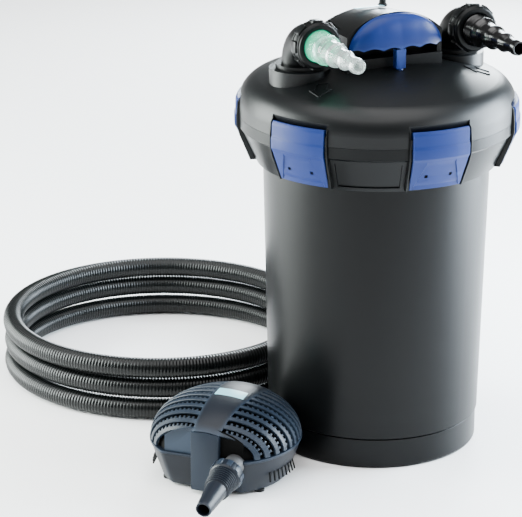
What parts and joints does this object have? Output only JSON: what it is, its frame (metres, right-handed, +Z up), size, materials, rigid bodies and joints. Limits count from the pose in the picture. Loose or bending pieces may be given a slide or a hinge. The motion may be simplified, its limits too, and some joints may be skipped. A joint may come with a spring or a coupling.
{
  "type": "pond pressure filter",
  "caption": "Pond pressure filter: clamped canister with a UV head, pull handle and swivelling elbows, a submersible pump and a coil of ribbed hose.",
  "frame": {"origin": "centre of the canister's flat base, on the ground", "axes": "+Z up, -Y to the canister's front where the hose tails point, +X to the inlet side"},
  "size_m": [0.613, 0.8391, 0.621],
  "materials": {
    "black_shell": "satin moulded",
    "blue_grip": "satin moulded",
    "clear_tail": "clear moulded",
    "black_rubber": "matt",
    "steel": "brushed",
    "ceramic": "polished ceramic",
    "label_blank": "plain blank plate",
    "inner_black": "moulded",
    "tie_rod_steel": "bright",
    "glass_tube": "clear quartz",
    "blue_foam": "open-cell foam",
    "magnet": "sealed ferrite",
    "pump_shell": "fine grained",
    "black_hose": "ribbed"
  },
  "bodies": {
    "canister": {"container": "black_shell", "collar_ring": "black_shell", "lid": "black_shell", "lid_seal": "black_rubber", "clamp_pins": "steel", "head_base": "black_shell", "head_housing": "black_shell", "head_rear_cover": "black_shell", "head_screws": "steel", "cable_gland": "black_rubber", "head_label_plate": "label_blank", "uvc_ballast": "inner_black", "lamp_holder": "inner_black", "quartz_sleeve": "glass_tube", "sleeve_seal": "black_rubber", "uvc_lamp": "glass_tube", "centre_pipe": "inner_black", "foam_ring_1": "blue_foam", "foam_ring_2": "blue_foam", "foam_ring_3": "blue_foam", "foam_ring_4": "blue_foam", "foam_top_plate": "inner_black", "outlet_duct": "inner_black", "rod_seal": "black_rubber", "pump_lower_shell": "pump_shell", "pump_upper_shell": "pump_shell", "motor_housing": "inner_black", "pump_volute": "inner_black", "rotor_shaft": "ceramic", "shaft_bush": "ceramic", "pump_feet": "black_rubber", "pump_screws": "steel", "pump_label_plate": "label_blank", "pump_hose_tail": "pump_shell", "hose_coil": "black_hose"},
    "cleaning_handle": {"pull_handle": "blue_grip", "pull_bar": "blue_grip", "lift_bridge": "inner_black", "tie_rods": "tie_rod_steel", "lift_plate": "inner_black"},
    "outlet_swivel": {"outlet_elbow": "black_shell", "outlet_hose_tail": "clear_tail", "outlet_elbow_seal": "black_rubber", "outlet_tail_gasket": "black_rubber"},
    "outlet_nut": {"outlet_union_nut": "black_shell"},
    "inlet_swivel": {"inlet_elbow": "black_shell", "inlet_hose_tail": "black_shell", "inlet_elbow_seal": "black_rubber", "inlet_tail_gasket": "black_rubber"},
    "inlet_nut": {"inlet_union_nut": "black_shell"},
    "pump_rotor": {"rotor_magnet": "magnet", "impeller": "inner_black"},
    "pump_nut": {"pump_outlet_nut": "pump_shell"},
    "clamp_1": {"clamp_1": "blue_grip"},
    "clamp_2": {"clamp_2": "blue_grip"},
    "clamp_3": {"clamp_3": "blue_grip"},
    "clamp_4": {"clamp_4": "blue_grip"},
    "clamp_5": {"clamp_5": "blue_grip"},
    "clamp_6": {"clamp_6": "blue_grip"}
  },
  "joints": [
    {"name": "clamp_1_hinge", "type": "hinge", "parent": "canister", "child": "clamp_1", "pos_m": [0, -0.168, 0.414], "axis": [1, 0, 0], "range_deg": [0, 70]},
    {"name": "clamp_2_hinge", "type": "hinge", "parent": "canister", "child": "clamp_2", "pos_m": [0.14549, -0.084, 0.414], "axis": [0.5, 0.866, 0], "range_deg": [0, 70]},
    {"name": "clamp_3_hinge", "type": "hinge", "parent": "canister", "child": "clamp_3", "pos_m": [0.14549, 0.084, 0.414], "axis": [-0.5, 0.866, 0], "range_deg": [0, 70]},
    {"name": "clamp_4_hinge", "type": "hinge", "parent": "canister", "child": "clamp_4", "pos_m": [0, 0.168, 0.414], "axis": [-1, 0, 0], "range_deg": [0, 70]},
    {"name": "clamp_5_hinge", "type": "hinge", "parent": "canister", "child": "clamp_5", "pos_m": [-0.14549, 0.084, 0.414], "axis": [-0.5, -0.866, 0], "range_deg": [0, 70]},
    {"name": "clamp_6_hinge", "type": "hinge", "parent": "canister", "child": "clamp_6", "pos_m": [-0.14549, -0.084, 0.414], "axis": [0.5, -0.866, 0], "range_deg": [0, 70]},
    {"name": "cleaning_slide", "type": "slide", "parent": "canister", "child": "cleaning_handle", "axis": [0, 0, 1], "range_m": [0, 0.055], "deforming": ["foam_ring_1", "foam_ring_2", "foam_ring_3", "foam_ring_4"]},
    {"name": "outlet_swivel_turn", "type": "hinge", "parent": "canister", "child": "outlet_swivel", "pos_m": [-0.117, 0, 0.56], "axis": [0, 0, -1], "range_deg": [-5, 180]},
    {"name": "outlet_nut_turn", "type": "hinge", "parent": "outlet_swivel", "child": "outlet_nut", "pos_m": [-0.117, -0.052, 0.587], "axis": [0, -1, 0], "continuous": true},
    {"name": "inlet_swivel_turn", "type": "hinge", "parent": "canister", "child": "inlet_swivel", "pos_m": [0.117, 0, 0.56], "axis": [0, 0, 1], "range_deg": [-5, 180]},
    {"name": "inlet_nut_turn", "type": "hinge", "parent": "inlet_swivel", "child": "inlet_nut", "pos_m": [0.117, -0.052, 0.587], "axis": [0, -1, 0], "continuous": true},
    {"name": "rotor_spin", "type": "hinge", "parent": "canister", "child": "pump_rotor", "pos_m": [-0.24281, -0.05995, 0.052], "axis": [-0.6947, -0.7193, 0], "continuous": true},
    {"name": "pump_nut_turn", "type": "hinge", "parent": "canister", "child": "pump_nut", "pos_m": [-0.28829, -0.15643, 0.05], "axis": [-0.6851, -0.7095, -0.165], "continuous": true}
  ]
}
